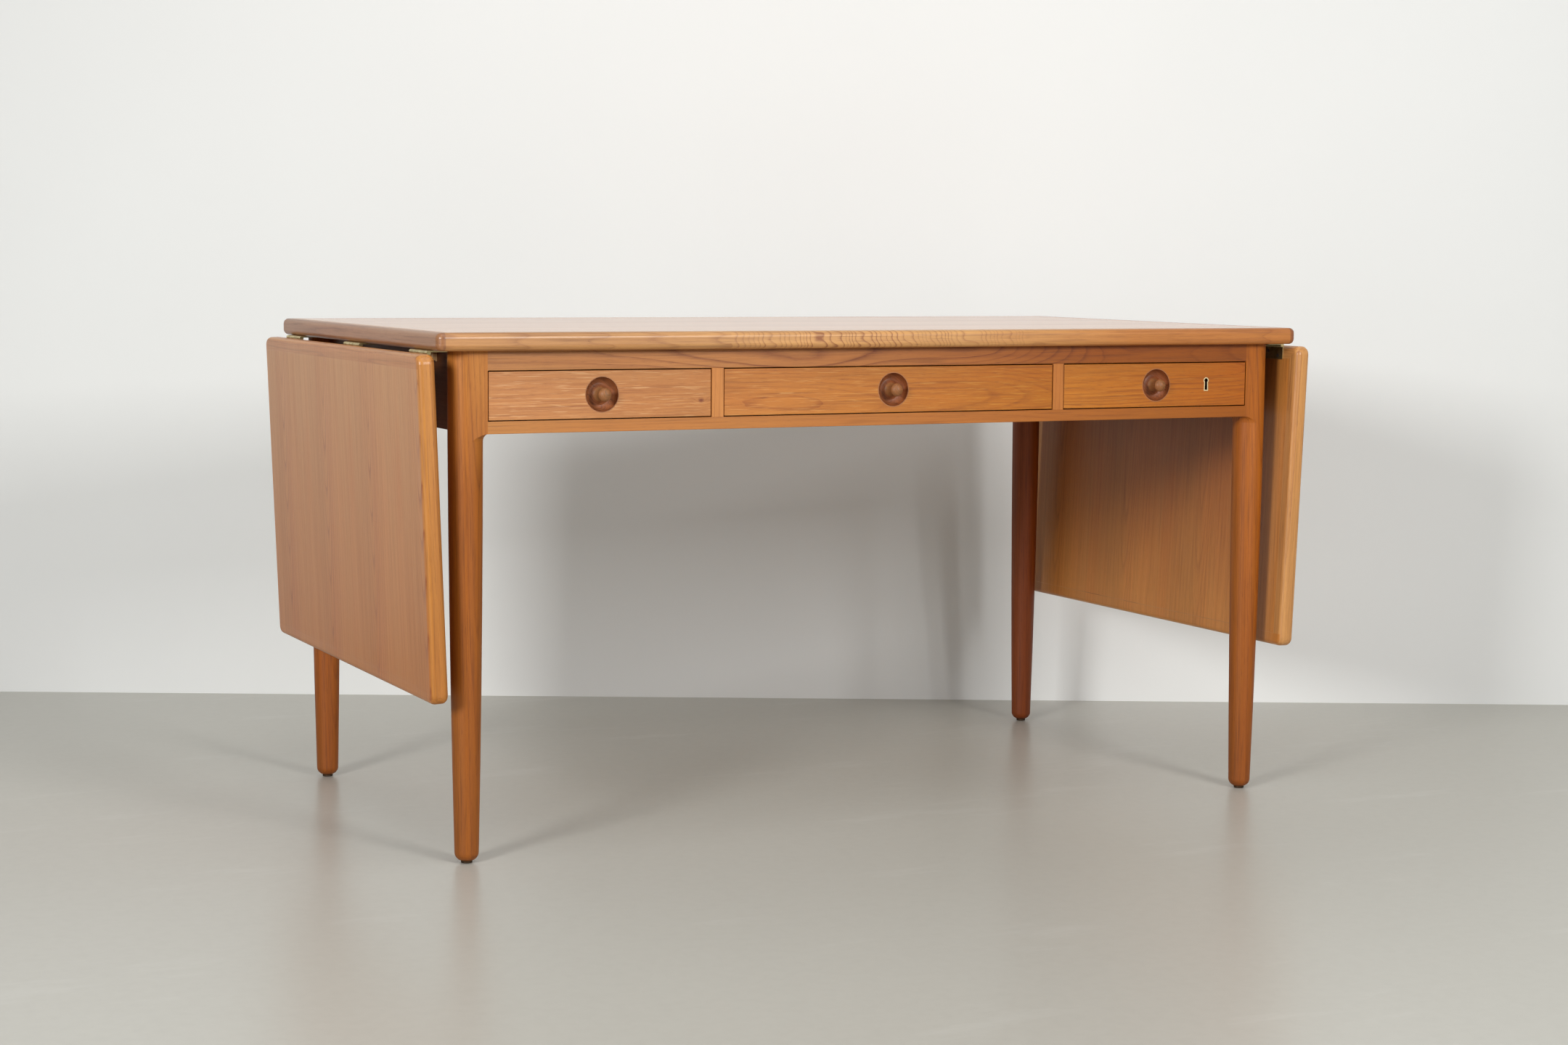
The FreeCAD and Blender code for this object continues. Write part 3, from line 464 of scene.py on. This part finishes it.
def leaf_place(tree, side):
    """The place on a hanging leaf: down from its pin, to the back, and out through its outer face."""
    x, y, z = parted(tree, object_place(tree))
    away = joined(tree, maths(tree, "SUBTRACT", maths(tree, "MULTIPLY", x, side), leaf_pin[0]), y,
                  maths(tree, "SUBTRACT", z, leaf_pin[2]))
    middle = sum(leaf_reach) / 2
    down = vector_maths(tree, "DOT_PRODUCT", away, (-math.sin(leaf_lean), 0.0, -math.cos(leaf_lean)))
    out = vector_maths(tree, "DOT_PRODUCT", away, (math.cos(leaf_lean), 0.0, -math.sin(leaf_lean)))
    return joined(tree, maths(tree, "SUBTRACT", down, middle), y,
                  maths(tree, "SUBTRACT", out, sum(leaf_face) / 2))


def veneer(tree, kind, place, taper=0.0):
    """Veneer in sheets, with dark lines near each sheet's crown that draw together along it."""
    swell = maths(tree, "MULTIPLY", parted(tree, place)[0], -taper)
    place, aside = sheet_place(tree, place)
    figure = spread(tree, maths(tree, "ABSOLUTE", aside), crown_core, crown_reach, *crown_figure)
    return cut_wood(tree, kind, place, figure, swell)


# How the top, its edging and the leaves are polished
top_polish = {"Coat_Weight": 0.77, "Coat_Roughness": 0.12, "bump_strength": 0.12}
edge_polish = {"Coat_Weight": 0.4, "Coat_Roughness": 0.28, "bump_strength": 0.2}
leaf_polish = {"Coat_Weight": 0.15, "Coat_Roughness": 0.25}
leaf_edge_polish = {"Coat_Weight": 0.25, "Coat_Roughness": 0.25}

# The top's front strip: the stretch where its rings come out in chevrons, how far they are pushed there, and
# the slope of the whole strip's rings
chevron_stretch = (-0.27, 0.21)
chevron_push = 0.08
ring_slope = 0.03

# How these rings wander, which fades outside the chevrons, and where their lines weaken, from the middle out
wander_waves = (17.0, 0.0, 0.0)
wander_reach = 0.009
wander_fade = (0.18, 0.27)
edge_figure_fade = (0.1, 0.36)
edge_figure = (1.5, 0.55)

# Where an end strip's colour starts and is whole, in from the top's end
end_strip = (0.012, 0.011)


def top_veneer(name, index):
    material, tree = new_material(name + "_wood")
    place, _ = from_middle(tree, name)
    oiled(tree, veneer(tree, "pale_veneer", place), **top_polish)
    return material


def top_edging(name, index):
    """The front strip's rings run out of its face in a row of close chevrons; the end strips are redder."""
    material, tree = new_material(name + "_wood")
    place, half = from_middle(tree, name)
    x, y, _ = parted(tree, place)
    front = maths(tree, "LESS_THAN", y, 0.0)
    slope = maths(tree, "ADD", spread(tree, x, *chevron_stretch, -chevron_push, chevron_push),
                  maths(tree, "MULTIPLY", x, ring_slope))
    wander = wave_noise(tree, place, wander_waves, 1.0)
    from_centre = maths(tree, "ABSOLUTE", x)
    wander = maths(tree, "MULTIPLY", spread(tree, wander, 0.2, 0.8, -wander_reach, wander_reach),
                   spread(tree, from_centre, *wander_fade, 1.0, 0.1))
    slope = maths(tree, "ADD", slope, wander)
    cut = cut_wood(tree, "edging", strip_place(tree, place, half.x, half.y),
                   spread(tree, from_centre, *edge_figure_fade, *edge_figure),
                   maths(tree, "MULTIPLY", slope, front))
    # Painted sheen makes the front strip paler and greyer from its left end to its middle, and painted shade
    # makes it darker towards its right end.
    colour = tinted(tree, cut["Color"], spread(tree, x, *front_strip_brightens), *front_strip_sheen_tints)
    colour = tinted(tree, colour, spread(tree, x, *front_strip_deepens), white, front_strip_end_shade_tint)
    end = spread(tree, from_centre, half.x - end_strip[0], half.x - end_strip[1])
    oiled(tree, cut, tinted(tree, colour, end, white, end_strip_tint), **edge_polish)
    return material


# The right leaf's inner face has no painted shadow in front of its leg, and on the outer face the strip
# beside a leaf's hinge keeps this much of its own look
unshaded_front = (-0.34, -0.27)
hinge_strip_own = 0.45


def leaf_sheet(tree, side, place):
    """The leaf's veneer and its colour: paler above with painted sheen and darker lower down with painted
    shade, and on the right leaf's inner face golden, with tall tongues, darker near the hinge with a painted
    shadow and paler lower down with painted light."""
    cut = veneer(tree, "veneer", place, leaf_taper)
    down = parted(tree, place)[0]
    # Painted sheen pales the leaf near its hinge, and painted shade darkens it lower down.
    colour = tinted(tree, cut["Color"], spread(tree, down, *leaf_deepens), *leaf_tints)
    if side > 0:
        inner = veneer(tree, "inner_veneer", place, inner_leaf_taper)
        # Painted shadow darkens the inner face near the hinge, except in front of the leg, and painted light
        # pales it lower down.
        bright = maths(tree, "MAXIMUM", spread(tree, down, *inner_leaf_brightens),
                       spread(tree, parted(tree, place)[1], *unshaded_front, 1.0, 0.0))
        golden = tinted(tree, inner["Color"], bright, *inner_leaf_shadow_tints)
        facing_in = maths(tree, "LESS_THAN", parted(tree, place)[2], 0.0)
        colour = blended(tree, facing_in, colour, golden)
    return cut, colour


def leaf_veneer(side):
    def make(name, index):
        material, tree = new_material(name + "_wood")
        cut, colour = leaf_sheet(tree, side, leaf_place(tree, side))
        oiled(tree, cut, colour, **leaf_polish)
        return material
    return make


def leaf_edging(side):
    """Golden wood round the leaf; on the outer face only the strip beside the hinge tells from the veneer.

    The right leaf's edging is paler, with painted sheen, and its foot strip looks like the veneer on the
    inner face too.
    """
    def make(name, index):
        material, tree = new_material(name + "_wood")
        half_length = (leaf_reach[1] - leaf_reach[0]) / 2
        half_width = (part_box(name)[1].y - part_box(name)[0].y) / 2
        place = leaf_place(tree, side)
        down, _, out = parted(tree, place)
        cut = cut_wood(tree, "edging", strip_place(tree, place, half_length, half_width))
        _, sheet = leaf_sheet(tree, side, place)
        face = (leaf_face[1] - leaf_face[0]) / 2 - leaf_arris
        outside = maths(tree, "GREATER_THAN", out, face)
        hinge_strip = maths(tree, "LESS_THAN", down, leaf_strip_width - half_length)
        covered = maths(tree, "SUBTRACT", 1.0, maths(tree, "MULTIPLY", hinge_strip, hinge_strip_own))
        share = maths(tree, "MULTIPLY", outside, covered)
        colour = tinted(tree, cut["Color"], maths(tree, "MULTIPLY", outside, hinge_strip), white,
                        hinge_strip_tint)
        if side < 0:
            # Painted shade: the left leaf's edging is darker down from its hinge.
            colour = tinted(tree, colour, spread(tree, down, *left_leaf_edge_deepens), white,
                            left_leaf_edge_shade_tint)
        else:
            foot = maths(tree, "MULTIPLY", maths(tree, "LESS_THAN", out, -face),
                         maths(tree, "GREATER_THAN", down, half_length - leaf_strip_width))
            share = maths(tree, "MAXIMUM", share, foot)
            # Painted sheen: the right leaf's edging is paler and greyer.
            colour = vector_maths(tree, "MULTIPLY", colour, right_leaf_edge_sheen_tint)
        oiled(tree, cut, blended(tree, share, colour, sheet), **leaf_edge_polish)
        return material
    return make


# The pulls are turned from a darker wood, with the grain aslant, and their knobs are paler where hands wear
# them. A pale line round each rim is a painted highlight.
# Each pull further right is redder and darker, partly painted shade.
pull_shade_tints = ((1.0, 0.98, 0.9), (0.98, 0.9, 0.77), (0.95, 0.84, 0.7))
pull_shift = 0.3
pull_slant = math.radians(-38)
pull_dullness = 0.06
rim_highlight_band = (0.0014, 0.0008)
rim_highlight_colour = srgb(196, 146, 102)
rim_highlight_share = 0.4
knob_edge = (0.0095, 0.0105)
knob_colour = srgb(150, 118, 76)
knob_share = 0.35


def pull(name, index):
    material, tree = new_material(name + "_wood")
    place, half = from_middle(tree, name)
    turned = add(tree, "ShaderNodeMapping", {"Vector": place, "Location": (pull_shift * index, 0.0, 0.0),
                                             "Rotation": (0.0, pull_slant, 0.0)}).outputs[0]
    cut = cut_wood(tree, "dark", turned)
    from_axis = vector_maths(tree, "LENGTH", scaled(tree, place, (1.0, 0.0, 1.0)))
    # Painted highlight: a pale line round the rim.
    rim_highlight = spread(tree, from_axis, half.x - rim_highlight_band[0], half.x - rim_highlight_band[1], 0.0, rim_highlight_share)
    colour = blended(tree, rim_highlight, cut["Color"], rim_highlight_colour)
    knob = spread(tree, from_axis, *knob_edge, knob_share, 0.0)
    colour = blended(tree, knob, colour, knob_colour)
    # Partly painted shade: each pull further right is redder and darker.
    oiled(tree, cut, vector_maths(tree, "MULTIPLY", colour, pull_shade_tints[index]),
          Roughness=maths(tree, "ADD", cut["Roughness"], pull_dullness))
    return material


# The waves per metre of a metal's darker patches and of its scratches, the scratches' bump as strength and
# depth, and how far the roughness strays either way
grime_waves = (90.0, 90.0, 90.0)
scratch_waves = (300.0, 2500.0, 2500.0)
scratch_bump = (0.15, 0.0001)
roughness_stray = (-0.08, 0.15)

# The keyhole's rim, how deep behind its front it starts and ends turning dark, and the painted shade inside
# it
rim_colours = (srgb(232, 214, 170), srgb(206, 184, 138))
rim_depth = (0.0004, 0.0009)
keyhole_shade_colour = srgb(20, 16, 13)


def metal(colour, roughness, grime):
    """Makes a dulled metal with fine scratches and darker patches."""
    def make(name, index):
        material, tree = new_material(name + "_metal")
        place = object_place(tree)
        patches = wave_noise(tree, place, grime_waves, 4.0, 0.6)
        scratches = wave_noise(tree, place, scratch_waves)
        tint = blended(tree, spread(tree, patches, 0.4, 0.75), colour, grime)
        rough = spread(tree, maths(tree, "ADD", patches, scratches), 0.7, 1.3,
                       roughness + roughness_stray[0], roughness + roughness_stray[1])
        surface(tree, scratches, *scratch_bump, Base_Color=tint, Metallic=1.0, Roughness=rough)
        return material
    return make


def escutcheon(name, index):
    """A pale thin rim round a keyhole that is painted dark inside, as shade."""
    material, tree = new_material(name + "_metal")
    place = object_place(tree)
    patches = wave_noise(tree, place, grime_waves, 4.0, 0.6)
    colour = blended(tree, spread(tree, patches, 0.4, 0.75), *rim_colours)
    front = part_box(name)[0].y
    depth = spread(tree, parted(tree, place)[1], front + rim_depth[0], front + rim_depth[1])
    surface(tree, Base_Color=blended(tree, depth, colour, keyhole_shade_colour),
            Metallic=spread(tree, depth, 0.0, 1.0, 0.5, 0.0), Roughness=0.5)
    return material


def dress(names, make):
    """Gives each named CAD node its own material from make(node, index)."""
    for index, name in enumerate(names):
        piece = nodes[name]
        piece.data.materials.clear()
        piece.data.materials.append(make(name, index))


def dress_wood():
    dress(["drawer_left_front"], front_left)
    # Painted shade: the fronts and rails are darker towards their right ends, and the right divider is darker
    # than the left.
    dress(["drawer_middle_front"], board("front_middle", "X", *front_middle_shade_tints))
    dress(["drawer_right_front"], board("front_right", "X", *front_right_shade_tints))
    dress(["front_top_rail"], top_rail)
    dress(["front_bottom_rail"], board("plain_rail", "X", *bottom_rail_shade_tints))
    dress(["back_apron"], board("plain_rail", "X"))
    dress(["drawer_divider_left"], board("plain_rail", "Z"))
    dress(["drawer_divider_right"], board("plain_rail", "Z", right_divider_shade_tint, right_divider_shade_tint))
    # Painted shade darkens the legs towards their feet, and painted sheen pales the nearest leg's head.
    dress(["leg_front_left"], board("leg", "Z", *nearest_leg_shade_and_sheen_tints, leg_dullness, head_start))
    dress(["leg_front_right", "leg_rear_left"], board("leg", "Z", *leg_tints, leg_dullness))
    # Painted shade: the rear right leg and the end aprons are darker all over.
    dress(["leg_rear_right"], board("leg", "Z", shade_tint, shade_tint, leg_dullness))
    dress(["end_apron_left", "end_apron_right"], board("plain_rail", "Y", deep_shade_tint, deep_shade_tint))
    dress(["inner_partition_left", "inner_partition_right", "drawer_runners", "drawer_kickers"],
          board("pale", "Y"))
    dress(["back_batten", "drawer_stops"], board("pale", "X"))
    dress([name for name in nodes if name.startswith("bearer_")], board("pale", "X"))
    dress([name for name in nodes if "_side_" in name], board("pale", "Y"))
    dress([name for name in nodes if name.startswith("drawer_") and name.endswith(("_back", "_bottom"))],
          board("pale", "X"))
    dress([name for name in nodes if name.endswith("_pull")], pull)
    dress(["top_panel"], top_veneer)
    dress(["top_edging"], top_edging)
    for side, end in ((-1.0, "left"), (1.0, "right")):
        dress(["leaf_panel_" + end], leaf_veneer(side))
        dress(["leaf_edging_" + end], leaf_edging(side))


def dress_metal():
    brass = metal(srgb(214, 200, 150), 0.36, srgb(170, 150, 100))
    steel = metal(srgb(150, 148, 144), 0.42, srgb(96, 90, 84))
    bronze = metal(srgb(84, 66, 50), 0.5, srgb(52, 40, 32))
    # The lock case is near black as painted shade, so that the keyhole shows dark.
    keyhole_shade_steel = metal(srgb(34, 32, 30), 0.6, srgb(22, 21, 20))
    dress(["lock_escutcheon"], escutcheon)
    dress(["leg_glides"], bronze)
    dress(["hinge_pins", "lock_screws"] + [name for name in nodes if "hinge_flaps" in name], brass)
    dress(["lock_case"], keyhole_shade_steel)
    dress(["top_screws", "lock_bolt", "lock_strike"]
          + [name for name in nodes if "hinge_screws" in name], steel)


# The room, the lamps and the camera

def flat_piece(name, corners, material):
    mesh = bpy.data.meshes.new(name)
    mesh.from_pydata(corners, [], [(0, 1, 2, 3)])
    mesh.materials.append(material)
    piece = bpy.data.objects.new(name, mesh)
    bpy.context.scene.collection.objects.link(piece)


# The floor's noise is taken a little above 0, and its roughness stays in a range that renders without marks
floor_shift = (0.0, 0.0, 0.37)
floor_roughness = (0.285, 0.34)

# The waves per metre and the colours of the marks on the floor and the wall
cloud_waves = (0.9, 0.9, 0.9)
cloud_colours = (srgb(195, 193, 184), srgb(187, 185, 175))
grit_waves = (60.0, 60.0, 60.0)
grit_colour = srgb(160, 157, 147)
scuff_waves = (2.6, 11.0, 1.0)
scuff_colour = srgb(210, 209, 202)
plaster_waves = (0.8, 0.8, 0.8)
plaster_colours = (srgb(237, 238, 236), srgb(233, 234, 232))


def floor_material():
    """A pale grey sealed floor with faint clouds, pale scuffs and a soft gloss."""
    material, tree = new_material("sealed_floor")
    place = vector_maths(tree, "ADD", object_place(tree), floor_shift)
    clouds = wave_noise(tree, place, cloud_waves, 1.0)
    grit = wave_noise(tree, place, grit_waves, 3.0, 0.6)
    colour = blended(tree, spread(tree, clouds, 0.2, 0.8), *cloud_colours)
    colour = blended(tree, spread(tree, grit, 0.4, 0.8, 0.0, 0.12), colour, grit_colour)
    scuffs = wave_noise(tree, place, scuff_waves, 5.0, 0.65)
    colour = blended(tree, spread(tree, scuffs, 0.6, 0.72, 0.0, 0.3), colour, scuff_colour)
    surface(tree, Base_Color=colour, Roughness=spread(tree, clouds, 0.2, 0.8, *floor_roughness),
            Specular_IOR_Level=0.5)
    return material


def wall_material():
    """A matt white wall that shows only from its front."""
    material, tree = new_material("plain_wall")
    patches = wave_noise(tree, object_place(tree), plaster_waves, 4.0)
    colour = blended(tree, spread(tree, patches, 0.3, 0.7), *plaster_colours)
    paint = add(tree, "ShaderNodeBsdfDiffuse", {"Color": colour})
    clear = add(tree, "ShaderNodeBsdfTransparent")
    behind = add(tree, "ShaderNodeNewGeometry").outputs["Backfacing"]
    both = add(tree, "ShaderNodeMixShader", {0: behind, 1: paint.outputs[0], 2: clear.outputs[0]})
    add(tree, "ShaderNodeOutputMaterial", {"Surface": both.outputs[0]})
    return material


def make_room():
    half = floor_size / 2
    flat_piece("floor", [(-half, -half, 0), (half, -half, 0), (half, half, 0), (-half, half, 0)],
               floor_material())
    ahead = Vector((math.sin(camera_yaw), math.cos(camera_yaw), 0))
    aside = Vector((math.cos(camera_yaw), -math.sin(camera_yaw), 0))
    foot = Vector((camera_place[0], camera_place[1], 0)) + ahead * wall_distance
    rise = Vector((0, 0, math.cos(wall_lean))) + ahead * math.sin(wall_lean)
    width, height = wall_size
    low = [foot - aside * width / 2, foot + aside * width / 2]
    flat_piece("wall", low + [point + rise * height for point in reversed(low)], wall_material())


def make_lamps():
    for name, (place, target, size, power, opening) in lamps.items():
        lamp = bpy.data.lights.new(name, "AREA")
        lamp.shape = "SQUARE"
        lamp.size = size
        lamp.energy = power
        lamp.spread = opening
        piece = bpy.data.objects.new(name, lamp)
        piece.location = place
        piece.rotation_euler = (Vector(target) - Vector(place)).to_track_quat("-Z", "Y").to_euler()
        piece.visible_camera = False
        bpy.context.scene.collection.objects.link(piece)


def make_world():
    """An even white room, which the camera and reflections see as a pale background."""
    world = bpy.data.worlds.new("pale_room")
    world.use_nodes = True
    tree = world.node_tree
    tree.nodes.clear()
    path = add(tree, "ShaderNodeLightPath").outputs
    seen = maths(tree, "MAXIMUM", path["Is Camera Ray"],
                 maths(tree, "MAXIMUM", path["Is Glossy Ray"], path["Is Transmission Ray"]))
    level = spread(tree, seen, 0.0, 1.0, room_light, room_seen)
    back = add(tree, "ShaderNodeBackground", {"Color": (1.0, 1.0, 1.0, 1.0), "Strength": level})
    add(tree, "ShaderNodeOutputWorld", {"Surface": back.outputs[0]})
    bpy.context.scene.world = world


def make_camera():
    camera = bpy.data.cameras.new("photo_view")
    camera.lens = camera_lens
    camera.sensor_width = sensor_width
    ahead = Vector((math.sin(camera_yaw) * math.cos(camera_pitch),
                    math.cos(camera_yaw) * math.cos(camera_pitch), -math.sin(camera_pitch)))
    aside = Vector((math.cos(camera_yaw), -math.sin(camera_yaw), 0))
    up = aside.cross(ahead)
    right = aside * math.cos(camera_roll) + up * math.sin(camera_roll)
    top = up * math.cos(camera_roll) - aside * math.sin(camera_roll)
    turn = Matrix((right, top, -ahead)).transposed().to_4x4()
    piece = bpy.data.objects.new("photo_view", camera)
    piece.matrix_world = Matrix.Translation(camera_place) @ turn
    bpy.context.scene.collection.objects.link(piece)
    bpy.context.scene.camera = piece


dress_wood()
dress_metal()
make_room()
make_lamps()
make_world()
make_camera()
bpy.context.scene.view_settings.view_transform = "Standard"
